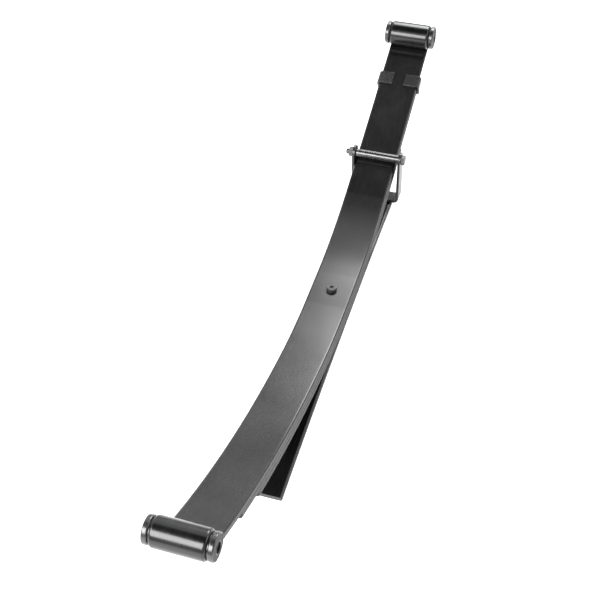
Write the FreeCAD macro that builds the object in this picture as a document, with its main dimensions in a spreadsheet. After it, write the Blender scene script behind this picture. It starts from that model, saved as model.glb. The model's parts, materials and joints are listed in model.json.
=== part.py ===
"""Asymmetric leaf spring: three nested leaves over a helper leaf, up-turned eyes with flanged bushes, a
centre bolt, one bolted rebound clip and one folded clip.

Frame: the origin is where the centre bolt's axis meets the main leaf's top face. +X runs to the front eye,
+Y to the left edge of the leaves and +Z up, into the space that the axle takes. Millimetres.

A reach is a length along the main leaf's top face from the centre bolt. The helper has its own, along its
own top face.
"""
import FreeCAD, Part
import math
import os
import Sketcher

REAR = -1
FRONT = 1
UP = 1
DOWN = -1
ORIGIN = (-1, 1)
UPRIGHT_AXIS = -2

DIMENSIONS = {
    "leaf_width": 60.0,
    "leaf_thickness": 7.5,
    "leaf_edge_radius": 3.3,
    "seat_length": 60.0,
    "middle_radius": 520.0,
    "rear_middle_reach": 125.0,
    "front_middle_reach": 180.0,
    "rear_outer_radius": 1100.0,
    "front_outer_radius": 5000.0,
    "main_rear_reach": 550.0,
    "main_front_reach": 470.0,
    "second_rear_reach": 448.0,
    "second_front_reach": 408.0,
    "third_rear_reach": 390.0,
    "third_front_reach": 280.0,
    "helper_rear_reach": 322.0,
    "helper_front_reach": 248.0,
    "helper_radius": 4000.0,
    "rear_eye_radius": 17.0,
    "front_eye_radius": 18.7,
    "eye_roll_angle": 298.0,
    "bush_flange_inset": 1.4,
    "bush_flange_thickness": 8.0,
    "bush_relief_radius": 13.4,
    "bush_relief_width": 1.0,
    "bush_rim_rounding": 2.0,
    "bush_middle_gap": 0.5,
    "press_gap": 0.03,
    "sleeve_outer_radius": 7.5,
    "sleeve_bore_radius": 6.1,
    "sleeve_overhang": 0.5,
    "running_gap": 0.05,
    "screw_radius": 4.0,
    "screw_hole_radius": 4.25,
    "screw_end_chamfer": 0.8,
    "thread_gap": 0.04,
    "centre_head_radius": 7.4,
    "centre_head_height": 5.2,
    "centre_head_rounding": 1.0,
    "centre_dimple_radius": 2.4,
    "centre_dimple_depth": 2.6,
    "centre_screw_end": 0.6,
    "hex_across_flats": 13.0,
    "hex_corner_cut": 0.9,
    "nut_height": 6.5,
    "screw_head_height": 5.3,
    "clip_base_reach": 235.0,
    "clip_screw_height": 75.5,
    "clip_width": 22.0,
    "clip_right_shift": 2.6,
    "clip_thickness": 4.0,
    "clip_edge_radius": 0.8,
    "clip_inner_half_width": 33.0,
    "clip_bend_radius": 4.0,
    "clip_screw_end": 4.5,
    "spacer_outer_radius": 6.0,
    "spacer_bore_radius": 4.1,
    "spacer_end_gap": 0.1,
    "tube_edge_chamfer": 0.4,
    "rivet_radius": 4.0,
    "rivet_head_radius": 7.0,
    "rivet_head_height": 3.6,
    "rivet_head_rounding": 3.2,
    "rivet_sunk_radius": 6.4,
    "rivet_sunk_depth": 2.4,
    "wrap_reach": 392.0,
    "wrap_width": 20.0,
    "wrap_thickness": 3.0,
    "wrap_edge_radius": 0.7,
    "wrap_side_gap": 0.5,
    "wrap_top_gap": 0.3,
    "wrap_bend_radius": 2.5,
    "wrap_tab_end": 9.0,
}

doc = FreeCAD.newDocument("LeafSpring")


# ---------------------------------------------------------------- sizes

class Measure:
    """A number together with the sheet expression that gives it."""

    def __init__(self, number, text):
        self.number = number
        self.text = text

    def __add__(self, other):
        other = as_measure(other)
        return Measure(self.number + other.number, f"({self.text} + {other.text})")

    def __sub__(self, other):
        other = as_measure(other)
        return Measure(self.number - other.number, f"({self.text} - {other.text})")

    def __mul__(self, other):
        other = as_measure(other)
        return Measure(self.number * other.number, f"({self.text} * {other.text})")

    def __truediv__(self, other):
        other = as_measure(other)
        return Measure(self.number / other.number, f"({self.text} / {other.text})")


def as_measure(value):
    if isinstance(value, Measure):
        return value
    return Measure(float(value), str(float(value)))


def sine(angle):
    """The sine of a measure in radians."""
    return Measure(math.sin(angle.number), f"sin({angle.text} * 1 rad)")


def cosine(angle):
    return Measure(math.cos(angle.number), f"cos({angle.text} * 1 rad)")


def make_sheet():
    sheet = doc.addObject("Spreadsheet::Sheet", "Sizes")
    for row, (alias, number) in enumerate(DIMENSIONS.items(), start=1):
        sheet.set(f"A{row}", alias)
        sheet.set(f"B{row}", str(number))
        sheet.setAlias(f"B{row}", alias)
    doc.recompute()
    return sheet


sheet = make_sheet()


def size(alias):
    """A driving dimension as a measure."""
    return Measure(float(sheet.get(alias)), f"Sizes.{alias}")


NOTHING = as_measure(0)
THICKNESS = size("leaf_thickness")
HALF_WIDTH = size("leaf_width") / 2
HALF_SEAT = size("seat_length") / 2
RIGHT_ANGLE = Measure(math.pi / 2, "(pi / 2)")
MAIN_DEPTH = NOTHING
SECOND_DEPTH = THICKNESS
THIRD_DEPTH = THICKNESS * 2
HELPER_DEPTH = THICKNESS * 3
PACK_DEPTH = THICKNESS * 4


# ---------------------------------------------------------------- sketches

def new_body(label):
    body = doc.addObject("PartDesign::Body", label)
    body.Label = label
    return body


def origin_feature(body, role):
    return next(item for item in body.Origin.OriginFeatures if item.Role == role)


def new_sketch(body, name, role):
    """A sketch on one of the body's own origin planes."""
    sketch = body.newObject("Sketcher::SketchObject", name)
    sketch.AttachmentSupport = [(origin_feature(body, role), "")]
    sketch.MapMode = "FlatFace"
    return sketch


def bind(sketch, kind, places, measure, unit=""):
    """Adds a dimension that follows the sheet."""
    index = sketch.addConstraint(Sketcher.Constraint(kind, *places, measure.number))
    sketch.setExpression(f"Constraints[{index}]", measure.text + unit)


def fix_point(sketch, geometry, end, across, along):
    """Fixes a point by its two distances from the sketch's origin."""
    for kind, measure in (("DistanceX", across), ("DistanceY", along)):
        bind(sketch, kind, (*ORIGIN, geometry, end), measure)


def draw_polygon(sketch, corners):
    """A closed outline with straight sides. Each corner is a pair of measures."""
    points = [FreeCAD.Vector(across.number, along.number, 0) for across, along in corners]
    for index, point in enumerate(points):
        sketch.addGeometry(Part.LineSegment(point, points[(index + 1) % len(points)]))
    for index, corner in enumerate(corners):
        following = (index + 1) % len(points)
        sketch.addConstraint(Sketcher.Constraint("Coincident", index, 2, following, 1))
        fix_point(sketch, index, 1, *corner)


def draw_circle(sketch, radius, along=None):
    """A circle on the sketch's upright axis."""
    centre = FreeCAD.Vector(0, along.number if along else 0, 0)
    circle = Part.Circle(centre, FreeCAD.Vector(0, 0, 1), radius.number)
    index = sketch.addGeometry(circle)
    if along:
        sketch.addConstraint(Sketcher.Constraint("PointOnObject", index, 3, UPRIGHT_AXIS))
        bind(sketch, "DistanceY", (*ORIGIN, index, 3), along)
    else:
        sketch.addConstraint(Sketcher.Constraint("Coincident", index, 3, *ORIGIN))
    bind(sketch, "Radius", (index,), radius)


def draw_bar_section(sketch, half_width, thickness, rounding, top):
    """A flat bar's section with rounded edges. Its top face lies at the given height."""
    low = top - thickness
    inner = half_width.number - rounding.number
    lower = low.number + rounding.number
    upper = top.number - rounding.number
    edge = half_width.number
    sides = (
        ((-inner, low.number), (inner, low.number), (inner, lower)),
        ((edge, lower), (edge, upper), (inner, upper)),
        ((inner, top.number), (-inner, top.number), (-inner, upper)),
        ((-edge, upper), (-edge, lower), (-inner, lower)),
    )
    for turn, (start, end, centre) in enumerate(sides):
        first = FreeCAD.Vector(*start, 0)
        last = FreeCAD.Vector(*end, 0)
        sketch.addGeometry(Part.LineSegment(first, last))
        circle = Part.Circle(FreeCAD.Vector(*centre, 0), FreeCAD.Vector(0, 0, 1), rounding.number)
        from_angle = (turn - 1) * math.pi / 2
        sketch.addGeometry(Part.ArcOfCircle(circle, from_angle, from_angle + math.pi / 2))
    for index in range(8):
        sketch.addConstraint(Sketcher.Constraint("Tangent", index, 2, (index + 1) % 8, 1))
    for line, direction in ((0, "Horizontal"), (2, "Vertical"), (4, "Horizontal"), (6, "Vertical")):
        sketch.addConstraint(Sketcher.Constraint(direction, line))
    for arc in (3, 5, 7):
        sketch.addConstraint(Sketcher.Constraint("Equal", 1, arc))
    bind(sketch, "Radius", (1,), rounding)
    bind(sketch, "DistanceX", (*ORIGIN, 2, 1), half_width)
    bind(sketch, "DistanceX", (6, 1, *ORIGIN), half_width)
    bind(sketch, "DistanceY", (*ORIGIN, 0, 1), low)
    bind(sketch, "DistanceY", (0, 1, 4, 1), thickness)


def draw_path(sketch, side, height, steps):
    """A chain of tangent lines and arcs that starts level on the upright axis and runs out to one side.

    A step is either (length,) or (radius, angle, UP or DOWN).
    """
    across, along = 0.0, height.number
    heading = 0.0
    last, last_end = None, None
    for step in steps:
        if len(step) == 1:
            start = FreeCAD.Vector(side * across, along, 0)
            across += step[0].number * math.cos(heading)
            along += step[0].number * math.sin(heading)
            index = sketch.addGeometry(Part.LineSegment(start, FreeCAD.Vector(side * across, along, 0)))
            near, far = 1, 2
        else:
            radius, angle, turn = step
            centre_across = across - turn * radius.number * math.sin(heading)
            centre_along = along + turn * radius.number * math.cos(heading)
            heading += turn * angle.number
            across = centre_across + turn * radius.number * math.sin(heading)
            along = centre_along - turn * radius.number * math.cos(heading)
            reached = side * (heading - turn * math.pi / 2)
            if side < 0:
                reached += math.pi
            circle = Part.Circle(
                FreeCAD.Vector(side * centre_across, centre_along, 0), FreeCAD.Vector(0, 0, 1), radius.number
            )
            if side * turn > 0:
                arc = Part.ArcOfCircle(circle, reached - angle.number, reached)
                near, far = 1, 2
            else:
                arc = Part.ArcOfCircle(circle, reached, reached + angle.number)
                near, far = 2, 1
            index = sketch.addGeometry(arc)
        if last is None:
            sketch.addConstraint(Sketcher.Constraint("Horizontal", index))
            fix_point(sketch, index, near, NOTHING, height)
        else:
            sketch.addConstraint(Sketcher.Constraint("Tangent", last, last_end, index, near))
        if len(step) == 1:
            bind(sketch, "Distance", (index,), step[0])
        else:
            bind(sketch, "Radius", (index,), radius)
            bind(sketch, "Angle", (index,), angle, " * 1 rad")
        last, last_end = index, far


# ---------------------------------------------------------------- features

def add_feature(body, kind, name, sketch):
    feature = body.newObject(f"PartDesign::{kind}", name)
    feature.Profile = sketch
    sketch.Visibility = False
    return feature


def add_bar(body, section, path, name):
    """Sweeps a bar's section along a path."""
    pipe = add_feature(body, "AdditivePipe", name, section)
    pipe.Spine = path
    pipe.Refine = True
    return pipe


def add_turned(body, corners, role="XZ_Plane", axis="V_Axis", name="Turned"):
    """Revolves a polygon about one of its sketch's own axes."""
    sketch = new_sketch(body, f"{body.Label}_outline", role)
    draw_polygon(sketch, corners)
    feature = add_feature(body, "Revolution", f"{body.Label}_{name}", sketch)
    feature.ReferenceAxis = (sketch, [axis])
    feature.Angle = 360
    return feature


def cut_through(body, sketch, name):
    """Cuts a sketch both ways out of the solid."""
    pocket = add_feature(body, "Pocket", name, sketch)
    pocket.SideType = "Symmetric"
    pocket.Type = "ThroughAll"
    return pocket


def circle_edges(feature, radius, level, direction):
    """Names of the feature's full circles of a radius at a level along a direction."""
    names = []
    for index, edge in enumerate(feature.Shape.Edges, start=1):
        if not isinstance(edge.Curve, Part.Circle):
            continue
        if abs(edge.Curve.Radius - radius.number) > 1e-4:
            continue
        if abs(edge.Curve.Center.dot(direction) - level.number) < 1e-4:
            names.append(f"Edge{index}")
    return names


def round_edges(body, base, kind, amount, names):
    """Adds a Fillet or a Chamfer to a feature's named edges."""
    feature = body.newObject(f"PartDesign::{kind}", f"{body.Label}_{kind}")
    feature.Base = (base, names)
    feature.setExpression("Radius" if kind == "Fillet" else "Size", amount.text)
    return feature


def place(body, spot, sideways=NOTHING, facing=None):
    """Puts a piece at a spot. It takes the leaf's pitch there unless it faces a way of its own."""
    across, along, pitch = spot
    tilt = FreeCAD.Rotation(FreeCAD.Vector(0, -1, 0), math.degrees(pitch.number))
    where = FreeCAD.Vector(across.number, sideways.number, along.number)
    body.Placement = FreeCAD.Placement(where, tilt if facing is None else facing)
    body.setExpression("Placement.Base.x", across.text)
    body.setExpression("Placement.Base.y", sideways.text)
    body.setExpression("Placement.Base.z", along.text)
    if facing is None:
        body.setExpression("Placement.Rotation.Angle", pitch.text + " * 1 rad")


def tilt_sketch(sketch, spot):
    """Moves a sketch on the lengthwise plane to a spot and turns it with the leaf there."""
    across, along, pitch = spot
    sketch.AttachmentOffset = FreeCAD.Placement(
        FreeCAD.Vector(across.number, along.number, 0),
        FreeCAD.Rotation(FreeCAD.Vector(0, 0, 1), math.degrees(pitch.number)),
    )
    sketch.setExpression("AttachmentOffset.Base.x", across.text)
    sketch.setExpression("AttachmentOffset.Base.y", along.text)
    sketch.setExpression("AttachmentOffset.Rotation.Angle", pitch.text + " * 1 rad")


# ---------------------------------------------------------------- where things lie

END_NAMES = {REAR: "rear", FRONT: "front"}


def bend_angles(side, reach):
    """How far the nested leaves turn in their middle bend, and then out to a reach."""
    end = END_NAMES[side]
    middle_reach = size(f"{end}_middle_reach")
    middle = (middle_reach - HALF_SEAT) / size("middle_radius")
    outer = (reach - middle_reach) / size(f"{end}_outer_radius")
    return middle, outer


def leaf_spot(side, depth, reach):
    """The spot on a nested leaf's top face at a reach: its X, its Z and the leaf's pitch there."""
    middle, outer = bend_angles(side, reach)
    middle_radius = size("middle_radius") + depth
    outer_radius = size(f"{END_NAMES[side]}_outer_radius") + depth
    slope = middle + outer
    across = HALF_SEAT + middle_radius * sine(middle) + outer_radius * (sine(slope) - sine(middle))
    rise = middle_radius * (as_measure(1) - cosine(middle)) + outer_radius * (cosine(middle) - cosine(slope))
    return across * side, rise - depth, slope * side


def helper_spot(side, reach):
    """The spot on the helper leaf's top face at a reach along it."""
    angle = (reach - HALF_SEAT) / size("helper_radius")
    across = HALF_SEAT + size("helper_radius") * sine(angle)
    drop = size("helper_radius") * (as_measure(1) - cosine(angle))
    return across * side, NOTHING - HELPER_DEPTH - drop, angle * -side


def above(spot, height):
    """A spot moved square off the leaf."""
    across, along, pitch = spot
    return across - height * sine(pitch), along + height * cosine(pitch), pitch


def eye_inner_radius(side):
    return size(f"{END_NAMES[side]}_eye_radius") - THICKNESS


def eye_centre(side):
    end = size(f"main_{END_NAMES[side]}_reach")
    return above(leaf_spot(side, MAIN_DEPTH, end), eye_inner_radius(side))


# ---------------------------------------------------------------- leaves

def nested_steps(side, depth, reach):
    """A nested leaf's half: its flat seat and two bends that turn up."""
    middle, outer = bend_angles(side, reach)
    return [
        (HALF_SEAT,),
        (size("middle_radius") + depth, middle, UP),
        (size(f"{END_NAMES[side]}_outer_radius") + depth, outer, UP),
    ]


def make_leaf(label, depth, halves):
    """A flat bar bent along two halves, with the centre bolt's hole."""
    body = new_body(label)
    section = new_sketch(body, f"{label}_section", "YZ_Plane")
    draw_bar_section(section, HALF_WIDTH, THICKNESS, size("leaf_edge_radius"), NOTHING - depth)
    for side, steps in halves.items():
        path = new_sketch(body, f"{label}_{END_NAMES[side]}_path", "XZ_Plane")
        draw_path(path, side, NOTHING - depth, steps)
        add_bar(body, section, path, f"{label}_{END_NAMES[side]}_half")
    hole = new_sketch(body, f"{label}_bolt_hole_outline", "XY_Plane")
    draw_circle(hole, size("screw_hole_radius"))
    cut_through(body, hole, f"{label}_bolt_hole")
    return body


def cut_rivet_hole(body, spot):
    """A countersunk hole whose wide end is at the spot, open past both faces of the leaf."""
    sketch = new_sketch(body, f"{body.Label}_rivet_hole_outline", "XZ_Plane")
    tilt_sketch(sketch, spot)
    wide = size("rivet_sunk_radius") + size("press_gap")
    narrow = size("rivet_radius") + size("press_gap")
    past = THICKNESS + 1
    draw_polygon(
        sketch,
        [
            (NOTHING, NOTHING - 1),
            (wide, NOTHING - 1),
            (wide, NOTHING),
            (narrow, size("rivet_sunk_depth")),
            (narrow, past),
            (NOTHING, past),
        ],
    )
    groove = add_feature(body, "Groove", f"{body.Label}_rivet_hole", sketch)
    groove.ReferenceAxis = (sketch, ["V_Axis"])
    groove.Angle = 360


def make_main_leaf():
    """The top leaf, whose ends roll up into the eyes."""
    halves = {}
    for side in (REAR, FRONT):
        eye = (eye_inner_radius(side), size("eye_roll_angle") * (math.pi / 180), UP)
        halves[side] = nested_steps(side, MAIN_DEPTH, size(f"main_{END_NAMES[side]}_reach")) + [eye]
    return make_leaf("main_leaf", MAIN_DEPTH, halves)


def make_nested_leaf(name, depth):
    halves = {
        side: nested_steps(side, depth, size(f"{name}_{END_NAMES[side]}_reach")) for side in (REAR, FRONT)
    }
    return make_leaf(f"{name}_leaf", depth, halves)


def make_helper_leaf():
    """The lowest leaf, which bends slightly the other way."""
    halves = {}
    for side in (REAR, FRONT):
        angle = (size(f"helper_{END_NAMES[side]}_reach") - HALF_SEAT) / size("helper_radius")
        halves[side] = [(HALF_SEAT,), (size("helper_radius"), angle, DOWN)]
    body = make_leaf("helper_leaf", HELPER_DEPTH, halves)
    cut_rivet_hole(body, CLIP_RIVET_SPOT)
    return body


def make_second_leaf():
    body = make_nested_leaf("second", SECOND_DEPTH)
    cut_rivet_hole(body, WRAP_RIVET_SPOT)
    return body


# ---------------------------------------------------------------- eyes

def make_bush(label, side, left):
    """Half of an eye's rubber bush: a sleeve in the eye and a flange that stands off its rim."""
    body = new_body(label)
    bore = size("sleeve_outer_radius") + size("running_gap")
    pressed = eye_inner_radius(side) - size("press_gap")
    flange = size(f"{END_NAMES[side]}_eye_radius") - size("bush_flange_inset")
    relief = HALF_WIDTH + size("bush_relief_width")
    outside = HALF_WIDTH + size("bush_flange_thickness")
    turned = add_turned(
        body,
        [
            (size("bush_middle_gap"), bore),
            (size("bush_middle_gap"), pressed),
            (HALF_WIDTH, pressed),
            (HALF_WIDTH, size("bush_relief_radius")),
            (relief, size("bush_relief_radius")),
            (relief, flange),
            (outside, flange),
            (outside, bore),
        ],
        "YZ_Plane",
        "H_Axis",
    )
    doc.recompute()
    sideways = FreeCAD.Vector(0, 1, 0)
    rims = circle_edges(turned, flange, relief, sideways)
    rims += circle_edges(turned, flange, outside, sideways)
    round_edges(body, turned, "Fillet", size("bush_rim_rounding"), rims)
    place(body, eye_centre(side), facing=FreeCAD.Rotation(FreeCAD.Vector(0, 0, 1), 0 if left else 180))


def make_inner_sleeve(label, side):
    """The steel tube through both halves of a bush, a little longer than they are."""
    half = HALF_WIDTH + size("bush_flange_thickness") + size("sleeve_overhang")
    make_tube(label, size("sleeve_outer_radius"), size("sleeve_bore_radius"), half, eye_centre(side))


def make_tube(label, outer, bore, half_length, spot, shift=NOTHING):
    """A tube across the spring, with its edges broken."""
    body = new_body(label)
    left, right = half_length, NOTHING - half_length
    corners = [(right, bore), (right, outer), (left, outer), (left, bore)]
    turned = add_turned(body, corners, "YZ_Plane", "H_Axis")
    doc.recompute()
    sideways = FreeCAD.Vector(0, 1, 0)
    rims = [
        name
        for radius in (outer, bore)
        for level in (left, right)
        for name in circle_edges(turned, radius, level, sideways)
    ]
    round_edges(body, turned, "Chamfer", size("tube_edge_chamfer"), rims)
    place(body, spot, shift, facing=FreeCAD.Rotation())


# ---------------------------------------------------------------- bolts, nuts and rivets

def add_hexagon(body, low, high):
    """A hexagonal block along Z whose upper corners are cut to a cone."""
    flat = size("hex_across_flats") / 2
    corner = flat / cosine(RIGHT_ANGLE / 3)
    half_corner = corner / 2
    sketch = new_sketch(body, f"{body.Label}_hexagon", "XY_Plane")
    raise_sketch(sketch, low)
    draw_polygon(
        sketch,
        [
            (corner, NOTHING),
            (half_corner, flat),
            (NOTHING - half_corner, flat),
            (NOTHING - corner, NOTHING),
            (NOTHING - half_corner, NOTHING - flat),
            (half_corner, NOTHING - flat),
        ],
    )
    pad = add_feature(body, "Pad", f"{body.Label}_block", sketch)
    pad.setExpression("Length", (high - low).text)
    cut = new_sketch(body, f"{body.Label}_corner_outline", "XZ_Plane")
    outside = corner + 1
    drop = (outside - flat) * math.tan(math.radians(30))
    draw_polygon(cut, [(flat, high), (outside, high), (outside, high - drop)])
    groove = add_feature(body, "Groove", f"{body.Label}_corner_cut", cut)
    groove.ReferenceAxis = (cut, ["V_Axis"])
    groove.Angle = 360


def raise_sketch(sketch, height):
    """Lifts a sketch off its origin plane."""
    sketch.AttachmentOffset = FreeCAD.Placement(FreeCAD.Vector(0, 0, height.number), FreeCAD.Rotation())
    sketch.setExpression("AttachmentOffset.Base.z", height.text)


def make_nut(label):
    """A hexagon nut that stands on Z = 0."""
    body = new_body(label)
    add_hexagon(body, NOTHING, size("nut_height"))
    bore = new_sketch(body, f"{label}_bore_outline", "XY_Plane")
    draw_circle(bore, size("screw_radius") + size("thread_gap"))
    cut_through(body, bore, f"{label}_bore")
    return body


def make_centre_bolt():
    """A cheese-headed bolt with a dimple in its head, through all four leaves."""
    body = new_body("centre_bolt")
    top = size("centre_head_height")
    end = NOTHING - PACK_DEPTH - size("nut_height") - size("centre_screw_end")
    shank = size("screw_radius")
    dimple = size("centre_dimple_radius")
    dimple_floor = top - size("centre_dimple_depth")
    turned = add_turned(
        body,
        [
            (NOTHING, end),
            (shank - size("screw_end_chamfer"), end),
            (shank, end + size("screw_end_chamfer")),
            (shank, NOTHING),
            (size("centre_head_radius"), NOTHING),
            (size("centre_head_radius"), top),
            (dimple, top),
            (dimple / 2, dimple_floor),
            (NOTHING, dimple_floor),
        ],
    )
    doc.recompute()
    rim = circle_edges(turned, size("centre_head_radius"), top, FreeCAD.Vector(0, 0, 1))
    round_edges(body, turned, "Fillet", size("centre_head_rounding"), rim)


def make_centre_nut():
    """The nut under the helper leaf, turned over so that its cut corners face down."""
    body = make_nut("centre_bolt_nut")
    upside_down = FreeCAD.Rotation(FreeCAD.Vector(1, 0, 0), 180)
    place(body, (NOTHING, NOTHING - PACK_DEPTH, NOTHING), facing=upside_down)


def make_clip_bolt():
    """A hexagon-headed bolt across the rebound clip, with its head on the right."""
    body = new_body("clip_bolt")
    add_hexagon(body, NOTHING, size("screw_head_height"))
    outside = size("clip_inner_half_width") + size("clip_thickness")
    length = outside * 2 + size("nut_height") + size("clip_screw_end")
    shank = size("screw_radius")
    chamfer = size("screw_end_chamfer")
    add_turned(
        body,
        [
            (NOTHING, NOTHING),
            (shank, NOTHING),
            (shank, chamfer - length),
            (shank - chamfer, NOTHING - length),
            (NOTHING, NOTHING - length),
        ],
        name="shank",
    )
    place(
        body,
        CLIP_BOLT_SPOT,
        sideways=NOTHING - outside - size("clip_right_shift"),
        facing=FreeCAD.Rotation(FreeCAD.Vector(1, 0, 0), 90),
    )


def make_clip_nut():
    body = make_nut("clip_bolt_nut")
    outside = size("clip_inner_half_width") + size("clip_thickness")
    sideways = outside - size("clip_right_shift")
    place(body, CLIP_BOLT_SPOT, sideways, facing=FreeCAD.Rotation(FreeCAD.Vector(1, 0, 0), -90))


def make_rivet(label, grip, spot):
    """A rivet whose sunk end is at the spot and whose round head is a grip above it."""
    body = new_body(label)
    top = grip + size("rivet_head_height")
    turned = add_turned(
        body,
        [
            (NOTHING, NOTHING),
            (size("rivet_sunk_radius"), NOTHING),
            (size("rivet_radius"), size("rivet_sunk_depth")),
            (size("rivet_radius"), grip),
            (size("rivet_head_radius"), grip),
            (size("rivet_head_radius"), top),
            (NOTHING, top),
        ],
    )
    doc.recompute()
    rim = circle_edges(turned, size("rivet_head_radius"), top, FreeCAD.Vector(0, 0, 1))
    round_edges(body, turned, "Fillet", size("rivet_head_rounding"), rim)
    place(body, spot)


# ---------------------------------------------------------------- clips

def add_strap(body, half_width, thickness, rounding, height, steps):
    """A flat strap bent alike to both sides across the spring. The height is its base's upper face."""
    section = new_sketch(body, f"{body.Label}_section", "XZ_Plane")
    draw_bar_section(section, half_width, thickness, rounding, height)
    for side, name in ((1, "left"), (-1, "right")):
        path = new_sketch(body, f"{body.Label}_{name}_path", "YZ_Plane")
        draw_path(path, side, height, steps)
        add_bar(body, section, path, f"{body.Label}_{name}_half")


def draw_rivet_bore(body, sideways=None):
    """The hole in a strap's base that its rivet is pressed through."""
    bore = new_sketch(body, f"{body.Label}_rivet_bore_outline", "XY_Plane")
    draw_circle(bore, size("rivet_radius") + size("press_gap"), sideways)
    return bore


def draw_tip_waste(sketch, half_width, height):
    """The outline of what is cut off round a half-round tip."""
    clear = half_width * 2
    top = height + clear
    centre = FreeCAD.Vector(0, height.number, 0)
    circle = Part.Circle(centre, FreeCAD.Vector(0, 0, 1), half_width.number)
    sketch.addGeometry(Part.ArcOfCircle(circle, 0, math.pi))
    outline = [
        (-half_width.number, height.number),
        (-clear.number, height.number),
        (-clear.number, top.number),
        (clear.number, top.number),
        (clear.number, height.number),
        (half_width.number, height.number),
    ]
    for start, end in zip(outline, outline[1:]):
        sketch.addGeometry(Part.LineSegment(FreeCAD.Vector(*start, 0), FreeCAD.Vector(*end, 0)))
    for index in range(6):
        sketch.addConstraint(Sketcher.Constraint("Coincident", index, 2, (index + 1) % 6, 1))
    for line in (1, 3, 5):
        sketch.addConstraint(Sketcher.Constraint("Horizontal", line))
    for line in (2, 4):
        sketch.addConstraint(Sketcher.Constraint("Vertical", line))
    for end in (1, 2):
        sketch.addConstraint(Sketcher.Constraint("Horizontal", 0, 3, 0, end))
    sketch.addConstraint(Sketcher.Constraint("PointOnObject", 0, 3, UPRIGHT_AXIS))
    bind(sketch, "Radius", (0,), half_width)
    bind(sketch, "DistanceY", (*ORIGIN, 0, 3), height)
    bind(sketch, "DistanceX", (*ORIGIN, 4, 1), clear)
    bind(sketch, "DistanceX", (2, 1, *ORIGIN), clear)
    bind(sketch, "DistanceY", (0, 3, 3, 1), clear)


def make_bolt_clip_strap():
    """The rebound clip: a U strap riveted on the helper leaf, with a bolt across its round-ended arms."""
    body = new_body("bolt_clip_strap")
    half_width = size("clip_width") / 2
    thickness = size("clip_thickness")
    bend = size("clip_bend_radius")
    bolt_height = size("clip_screw_height")
    steps = [
        (size("clip_inner_half_width") - bend,),
        (bend, RIGHT_ANGLE, UP),
        (bolt_height + half_width - thickness - bend,),
    ]
    add_strap(body, half_width, thickness, size("clip_edge_radius"), thickness, steps)
    waste = new_sketch(body, "bolt_clip_strap_tip_outline", "XZ_Plane")
    draw_tip_waste(waste, half_width, bolt_height)
    cut_through(body, waste, "bolt_clip_strap_round_tips")
    holes = new_sketch(body, "bolt_clip_strap_bolt_hole_outline", "XZ_Plane")
    draw_circle(holes, size("screw_hole_radius"), bolt_height)
    cut_through(body, holes, "bolt_clip_strap_bolt_holes")
    shift = size("clip_right_shift")
    cut_through(body, draw_rivet_bore(body, shift), "bolt_clip_strap_rivet_bore")
    place(body, CLIP_SPOT, sideways=NOTHING - shift)


def make_wrap_clip_strap():
    """The folded clip: a strap under the second leaf whose ends are folded over the main leaf."""
    body = new_body("wrap_clip_strap")
    inside = HALF_WIDTH + size("wrap_side_gap")
    bend = size("wrap_bend_radius")
    base = NOTHING - THICKNESS * 2
    steps = [
        (inside - bend,),
        (bend, RIGHT_ANGLE, UP),
        (THICKNESS * 2 + size("wrap_top_gap") - bend * 2,),
        (bend, RIGHT_ANGLE, UP),
        (inside - bend - size("wrap_tab_end"),),
    ]
    add_strap(body, size("wrap_width") / 2, size("wrap_thickness"), size("wrap_edge_radius"), base, steps)
    cut_through(body, draw_rivet_bore(body), "wrap_clip_strap_rivet_bore")
    place(body, WRAP_SPOT)


# ---------------------------------------------------------------- the whole spring

CLIP_SPOT = helper_spot(FRONT, size("clip_base_reach"))
CLIP_RIVET_SPOT = above(CLIP_SPOT, NOTHING - THICKNESS)
CLIP_BOLT_SPOT = above(CLIP_SPOT, size("clip_screw_height"))
WRAP_SPOT = leaf_spot(FRONT, MAIN_DEPTH, size("wrap_reach"))
WRAP_RIVET_TOP = above(WRAP_SPOT, NOTHING - THICKNESS)
WRAP_RIVET_SPOT = (WRAP_RIVET_TOP[0], WRAP_RIVET_TOP[1], WRAP_RIVET_TOP[2] + RIGHT_ANGLE * 2)


def make_spring():
    make_main_leaf()
    make_second_leaf()
    make_nested_leaf("third", THIRD_DEPTH)
    make_helper_leaf()
    make_centre_bolt()
    make_centre_nut()
    for side, end in END_NAMES.items():
        make_bush(f"{end}_bush_left", side, left=True)
        make_bush(f"{end}_bush_right", side, left=False)
        make_inner_sleeve(f"{end}_inner_sleeve", side)
    make_bolt_clip_strap()
    make_rivet("bolt_clip_rivet", THICKNESS + size("clip_thickness"), CLIP_RIVET_SPOT)
    spacer_half = size("clip_inner_half_width") - size("spacer_end_gap")
    outer, bore = size("spacer_outer_radius"), size("spacer_bore_radius")
    shift = NOTHING - size("clip_right_shift")
    make_tube("clip_spacer_tube", outer, bore, spacer_half, CLIP_BOLT_SPOT, shift)
    make_clip_bolt()
    make_clip_nut()
    make_wrap_clip_strap()
    make_rivet("wrap_clip_rivet", THICKNESS + size("wrap_thickness"), WRAP_RIVET_SPOT)


def check_document():
    """Stops if any object failed or any piece isn't one valid solid."""
    for item in doc.Objects:
        if {"Invalid", "Error"} & set(item.State):
            raise RuntimeError(f"{item.Label} failed: {item.State} {item.getStatusString()}")
    for body in pieces():
        shape = body.Shape
        if shape.isNull() or not shape.isValid() or len(shape.Solids) != 1:
            raise RuntimeError(f"{body.Label} isn't one valid solid")


def pieces():
    return [item for item in doc.Objects if item.TypeId == "PartDesign::Body"]


def export_pieces():
    os.makedirs("parts", exist_ok=True)
    for body in pieces():
        body.Shape.exportStep(f"parts/{body.Label}.step")
        print(f"{body.Label:20s} {body.Shape.Volume:12.1f} mm3")


make_spring()
doc.recompute()
check_document()
export_pieces()
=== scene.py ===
"""Looks for the leaf spring: painted steel, rubber bushes, steel fasteners and a pale studio floor."""
import json
import math

import bpy
from mathutils import Matrix, Vector


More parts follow.
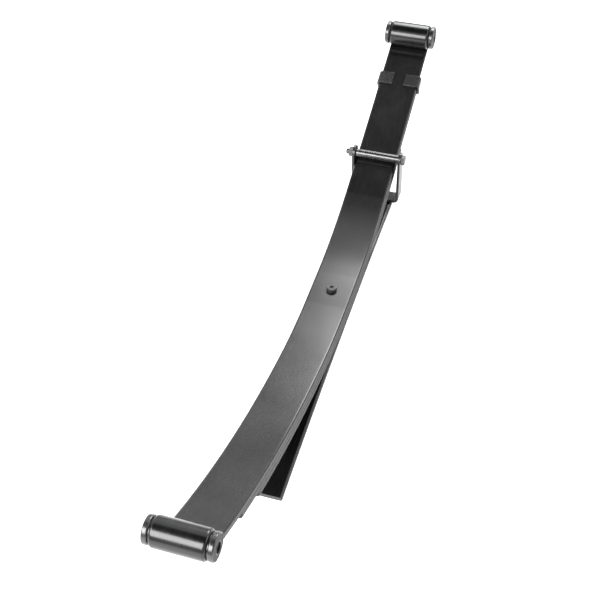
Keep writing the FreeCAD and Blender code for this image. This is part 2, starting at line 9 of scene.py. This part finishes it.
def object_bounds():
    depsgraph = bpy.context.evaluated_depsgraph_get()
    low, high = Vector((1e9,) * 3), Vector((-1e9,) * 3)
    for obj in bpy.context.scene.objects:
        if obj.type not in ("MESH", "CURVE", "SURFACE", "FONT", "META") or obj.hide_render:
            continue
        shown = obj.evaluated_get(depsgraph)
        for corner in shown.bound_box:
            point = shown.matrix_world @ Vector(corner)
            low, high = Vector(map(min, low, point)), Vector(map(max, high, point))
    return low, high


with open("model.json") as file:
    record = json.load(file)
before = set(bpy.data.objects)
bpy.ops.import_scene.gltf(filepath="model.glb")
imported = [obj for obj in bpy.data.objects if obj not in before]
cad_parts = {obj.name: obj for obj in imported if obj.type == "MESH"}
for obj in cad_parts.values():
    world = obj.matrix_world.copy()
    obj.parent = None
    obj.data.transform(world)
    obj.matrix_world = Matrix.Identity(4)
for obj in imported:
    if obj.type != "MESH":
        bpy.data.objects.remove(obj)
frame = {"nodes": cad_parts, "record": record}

CAD_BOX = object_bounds()
FLOOR_HEIGHT = CAD_BOX[0].z
SPRING_LENGTH = CAD_BOX[1].x - CAD_BOX[0].x
FLOOR_REACH = 20 * SPRING_LENGTH
MILLIMETRE = 0.001
MOST_NOISE = (0.35, 0.65)  # the range that most of a noise's values lie in
MOST_OF_TWO_NOISES = (0.7, 1.3)  # the same for the sum of two


# ---------------------------------------------------------------- node helpers

def new_material(name):
    """A material with an empty node tree, and that tree."""
    material = bpy.data.materials.new(name)
    material.use_nodes = True
    material.node_tree.nodes.clear()
    return material, material.node_tree


def add_node(tree, kind, inputs=None, **settings):
    """A shader node with its settings and input values. An input may be another node's output."""
    node = tree.nodes.new(f"ShaderNode{kind}")
    for name, value in settings.items():
        setattr(node, name, value)
    for name, value in (inputs or {}).items():
        socket = node.inputs[name]
        if isinstance(value, bpy.types.NodeSocket):
            tree.links.new(value, socket)
        else:
            socket.default_value = value
    return node


def grey(level, warmth=0.0):
    """A grey, a little warmer or colder."""
    return (level * (1 + warmth), level, level * (1 - warmth), 1)


def object_position(tree, stretch=(1, 1, 1)):
    """Positions on a piece in metres. A pattern is drawn out along the axis with the smallest stretch."""
    where = add_node(tree, "TexCoord").outputs["Object"]
    return add_node(tree, "Mapping", {"Vector": where, "Scale": stretch}).outputs["Vector"]


def noise(tree, where, scale, detail, roughness=0.55):
    """A cloudy pattern with about as many blotches to the metre as its scale says."""
    inputs = {"Vector": where, "Scale": scale, "Detail": detail, "Roughness": roughness}
    return add_node(tree, "TexNoise", inputs).outputs["Fac"]


def spread(tree, value, low, high, from_low=0.0, from_high=1.0):
    """Maps a value onto a range, without going past its ends."""
    inputs = {"Value": value, "From Min": from_low, "From Max": from_high, "To Min": low, "To Max": high}
    return add_node(tree, "MapRange", inputs, clamp=True).outputs["Result"]


def calculate(tree, operation, *values):
    return add_node(tree, "Math", dict(enumerate(values)), operation=operation).outputs[0]


def times(tree, first, second):
    return calculate(tree, "MULTIPLY", first, second)


def plus(tree, first, second):
    return calculate(tree, "ADD", first, second)


def blend_colours(tree, amount, first, second):
    """Goes from the first colour to the second as the amount goes from nought to one."""
    # The Mix node's sockets for numbers and for colours share their names, so these go by their places.
    amount_socket, first_socket, second_socket, colour_result = 0, 6, 7, 2
    inputs = {amount_socket: amount, first_socket: first, second_socket: second}
    return add_node(tree, "Mix", inputs, data_type="RGBA").outputs[colour_result]


def bump(tree, height, distance, strength=0.5):
    inputs = {"Height": height, "Distance": distance, "Strength": strength}
    return add_node(tree, "Bump", inputs).outputs["Normal"]


def edge_wear(tree, radius, grain):
    """How near a point lies to a convex or concave edge, broken up by a grain."""
    soft = add_node(tree, "Bevel", {"Radius": radius}, samples=4).outputs["Normal"]
    sharp = add_node(tree, "NewGeometry").outputs["Normal"]
    agreement = add_node(tree, "VectorMath", {0: soft, 1: sharp}, operation="DOT_PRODUCT").outputs["Value"]
    edge = spread(tree, agreement, 1.0, 0.0, from_low=0.75, from_high=0.995)
    patches = spread(tree, grain, 0.0, 1.0, from_low=0.42, from_high=0.62)
    return times(tree, edge, patches)


def side_faces(tree):
    """One where a surface looks out sideways across the spring, nought on the rest."""
    normal = add_node(tree, "SeparateXYZ", {0: add_node(tree, "NewGeometry").outputs["Normal"]})
    sideways = calculate(tree, "ABSOLUTE", normal.outputs["Y"])
    return spread(tree, sideways, 0.0, 1.0, from_low=0.9, from_high=0.98)


def finish_surface(tree, colour, metal, roughness, normal, **more):
    """Joins what a material's nodes have worked out to its shader and output."""
    inputs = {"Base Color": colour, "Metallic": metal, "Roughness": roughness, "Normal": normal, **more}
    surface = add_node(tree, "BsdfPrincipled", inputs)
    output = add_node(tree, "OutputMaterial")
    tree.links.new(surface.outputs[0], output.inputs["Surface"])


# ---------------------------------------------------------------- materials

def make_paint(name, dark, light, rough, worn, rougher_sides=0.0):
    """Satin paint over rolled steel: faint streaks, fine orange peel, rubbed corners and coarser sides."""
    material, tree = new_material(name)
    here = object_position(tree)
    along_the_leaf = object_position(tree, (2.5, 90, 90))
    clouds = noise(tree, here, scale=14, detail=4)
    streaks = noise(tree, along_the_leaf, scale=3, detail=3)
    grain = noise(tree, here, scale=420, detail=2)
    peel = noise(tree, here, scale=900, detail=2, roughness=0.4)
    shade = plus(tree, times(tree, clouds, 0.6), times(tree, streaks, 0.4))
    coat_mix = spread(tree, shade, 0, 1, *MOST_NOISE)
    coat = blend_colours(tree, coat_mix, grey(dark, -0.04), grey(light, -0.03))
    wear = edge_wear(tree, 0.8 * MILLIMETRE, grain)
    colour = blend_colours(tree, times(tree, wear, 0.5), coat, grey(worn))
    smears = spread(tree, shade, rough - 0.05, rough + 0.06, from_low=0.3, from_high=0.7)
    specks = spread(tree, grain, -0.02, 0.03)
    sides = times(tree, side_faces(tree), rougher_sides)
    roughness = plus(tree, plus(tree, smears, specks), sides)
    height = plus(tree, times(tree, peel, 0.5), times(tree, streaks, 0.5))
    finish_surface(tree, colour, 0.0, roughness, bump(tree, height, 0.02 * MILLIMETRE))
    return material


def make_fastener_steel(name, dark, light, rough):
    """Dull plated steel with mottled plating and bright rubbed corners."""
    material, tree = new_material(name)
    here = object_position(tree)
    mottle = noise(tree, here, scale=160, detail=4)
    grain = noise(tree, here, scale=1500, detail=2)
    shade = spread(tree, mottle, 0, 1, *MOST_NOISE)
    plating = blend_colours(tree, shade, grey(dark, -0.02), grey(light, 0.01))
    wear = edge_wear(tree, 0.5 * MILLIMETRE, mottle)
    rubbed = grey(light * 1.8)
    colour = blend_colours(tree, times(tree, wear, 0.6), plating, rubbed)
    roughness = spread(tree, plus(tree, mottle, grain), rough - 0.07, rough + 0.1, *MOST_OF_TWO_NOISES)
    normal = bump(tree, grain, 0.04 * MILLIMETRE, strength=0.4)
    finish_surface(tree, colour, 0.6, roughness, normal)
    return material


def make_turned_steel(name, dark, light, rough):
    """Steel tube with the fine rings that turning leaves. Its end faces are dull, and their near-black
    colour is painted shade.
    """
    material, tree = new_material(name)
    across_the_tube = object_position(tree, (1, 20, 1))
    rings = noise(tree, across_the_tube, scale=45, detail=3)
    mottle = noise(tree, object_position(tree), scale=120, detail=3)
    tone = plus(tree, times(tree, rings, 0.65), times(tree, mottle, 0.35))
    shade = spread(tree, tone, 0, 1, *MOST_NOISE)
    turned = blend_colours(tree, shade, grey(dark, -0.01), grey(light, 0.01))
    # Faces that look out along the tube's axis are coloured near black and not metallic: painted shade, as
    # for faces turned away from the light.
    ends_painted_dark = side_faces(tree)
    colour = blend_colours(tree, ends_painted_dark, turned, grey(0.02))
    metal = spread(tree, ends_painted_dark, 0.95, 0.0)
    polish = spread(tree, tone, rough - 0.05, rough + 0.08, *MOST_NOISE)
    roughness = plus(tree, polish, times(tree, ends_painted_dark, 0.6))
    finish_surface(tree, colour, metal, roughness, bump(tree, rings, 0.005 * MILLIMETRE))
    return material


def make_rubber(name):
    """Moulded black rubber with a dry bloom, a fine skin and dull end faces."""
    material, tree = new_material(name)
    here = object_position(tree)
    bloom = noise(tree, here, scale=70, detail=4)
    skin = noise(tree, here, scale=1300, detail=3)
    bloom_mix = spread(tree, bloom, 0, 1, from_low=0.4, from_high=0.7)
    colour = blend_colours(tree, bloom_mix, grey(0.006), grey(0.016, 0.03))
    moulded = spread(tree, plus(tree, bloom, skin), 0.2, 0.32, *MOST_OF_TWO_NOISES)
    roughness = plus(tree, moulded, times(tree, side_faces(tree), 0.55))
    gloss = {"Specular IOR Level": 0.8}
    finish_surface(tree, colour, 0.0, roughness, bump(tree, skin, 0.03 * MILLIMETRE), **gloss)
    return material


def make_floor_sheet():
    """The matt white sheet of a light table, lit a little from below, with a barely visible tooth."""
    material, tree = new_material("light_table_sheet")
    tooth = noise(tree, object_position(tree), scale=300, detail=2)
    colour = blend_colours(tree, tooth, grey(0.9), grey(0.93))
    normal = bump(tree, tooth, 0.1 * MILLIMETRE, strength=0.2)
    glow = {"Emission Color": grey(1.0), "Emission Strength": 0.55}
    finish_surface(tree, colour, 0.0, 0.9, normal, **glow)
    return material


# Each slot's maker, and what it is told: the darkest and the lightest grey, the roughness, and for paint
# the grey of rubbed corners and how much rougher the side faces are.
FINISHES = {
    "leaf_paint": (make_paint, dict(dark=0.002, light=0.005, rough=0.2, worn=0.08, rougher_sides=0.4)),
    "clip_paint": (make_paint, dict(dark=0.008, light=0.015, rough=0.26, worn=0.14)),
    "bolt_steel": (make_fastener_steel, dict(dark=0.03, light=0.07, rough=0.34)),
    "spacer_steel": (make_turned_steel, dict(dark=0.07, light=0.12, rough=0.26)),
    "sleeve_steel": (make_turned_steel, dict(dark=0.08, light=0.16, rough=0.28)),
    "bush_rubber": (make_rubber, dict()),
}


def dress_nodes():
    """Gives every CAD node the material of its record slot."""
    made = {slot: maker(slot, **look) for slot, (maker, look) in FINISHES.items()}
    for part in frame["record"]["subparts"]:
        node = frame["nodes"][part["node"]]
        node.data.materials.clear()
        node.data.materials.append(made[part["material_slot"]])


# ---------------------------------------------------------------- stage

def make_floor():
    """A square sheet under the spring, so wide that its edges lie near the horizon."""
    signs = ((-1, -1), (1, -1), (1, 1), (-1, 1))
    corners = [(FLOOR_REACH * x_sign, FLOOR_REACH * y_sign, FLOOR_HEIGHT) for x_sign, y_sign in signs]
    mesh = bpy.data.meshes.new("floor")
    mesh.from_pydata(corners, [], [(0, 1, 2, 3)])
    floor = bpy.data.objects.new("floor", mesh)
    bpy.context.scene.collection.objects.link(floor)
    mesh.materials.append(make_floor_sheet())


def aim(thing, position, target, roll=0.0):
    """Puts a light or a camera at a position, facing a target."""
    facing = (Vector(target) - Vector(position)).to_track_quat("-Z", "Y").to_matrix().to_4x4()
    thing.matrix_world = Matrix.Translation(position) @ facing @ Matrix.Rotation(roll, 4, "Z")


def add_softbox(name, direction, distance, width, height, radiance):
    """A rectangular light that faces the spring's middle from a direction, equally bright at any size."""
    light = bpy.data.lights.new(name, "AREA")
    light.shape = "RECTANGLE"
    light.size = width
    light.size_y = height
    light.energy = radiance * math.pi * width * height
    holder = bpy.data.objects.new(name, light)
    bpy.context.scene.collection.objects.link(holder)
    aim(holder, Vector(direction).normalized() * distance, target=(0, 0, 0))


def light_studio():
    """Soft boxes beyond, before and beside the spring."""
    add_softbox("far_softbox", (0.77, -0.1, 0.62), distance=2.2, width=1.3, height=1.05, radiance=10.5)
    add_softbox("near_softbox", (-0.77, 0.45, 0.68), distance=2.2, width=1.5, height=1.05, radiance=14)
    add_softbox("right_softbox", (0.1, -1.0, 0.75), distance=2.6, width=1.6, height=0.7, radiance=4)


def make_surroundings():
    """Pale walls, brighter upwards, with a dark band overhead that runs across the spring."""
    # A direction's X says how far it leans along the spring and its Z how steeply it rises, up to 1.
    world = bpy.data.worlds.new("studio")
    bpy.context.scene.world = world
    world.use_nodes = True
    tree = world.node_tree
    tree.nodes.clear()
    direction = add_node(tree, "SeparateXYZ", {0: add_node(tree, "TexCoord").outputs["Generated"]})
    lengthways = direction.outputs["X"]
    upwards = direction.outputs["Z"]
    walls = spread(tree, upwards, 0.5, 1.1, from_high=0.5)
    band_middle = -0.1
    from_band_middle = calculate(tree, "ABSOLUTE", plus(tree, lengthways, -band_middle))
    band = spread(tree, from_band_middle, 0.02, 1.4, from_low=0.36, from_high=0.5)
    below_band = spread(tree, upwards, 1.0, 0.0, from_low=0.72, from_high=0.88)
    level = times(tree, walls, calculate(tree, "MAXIMUM", band, below_band))
    background = add_node(tree, "Background", {"Color": grey(1.0), "Strength": level})
    output = add_node(tree, "OutputWorld")
    tree.links.new(background.outputs[0], output.inputs["Surface"])


def add_camera():
    """A short telephoto view from behind, above and to the right of the rear eye."""
    position = (-0.9911, -0.3045, 1.1007)
    target = (-0.1338, 0, 0.1178)
    roll = math.radians(-2.99)
    camera = bpy.data.cameras.new("camera")
    camera.lens = 65.27
    camera.sensor_width = 36
    camera.clip_end = 50
    holder = bpy.data.objects.new("camera", camera)
    bpy.context.scene.collection.objects.link(holder)
    aim(holder, position, target, roll)
    bpy.context.scene.camera = holder


dress_nodes()
make_floor()
light_studio()
make_surroundings()
add_camera()
bpy.context.scene.view_settings.view_transform = "Standard"
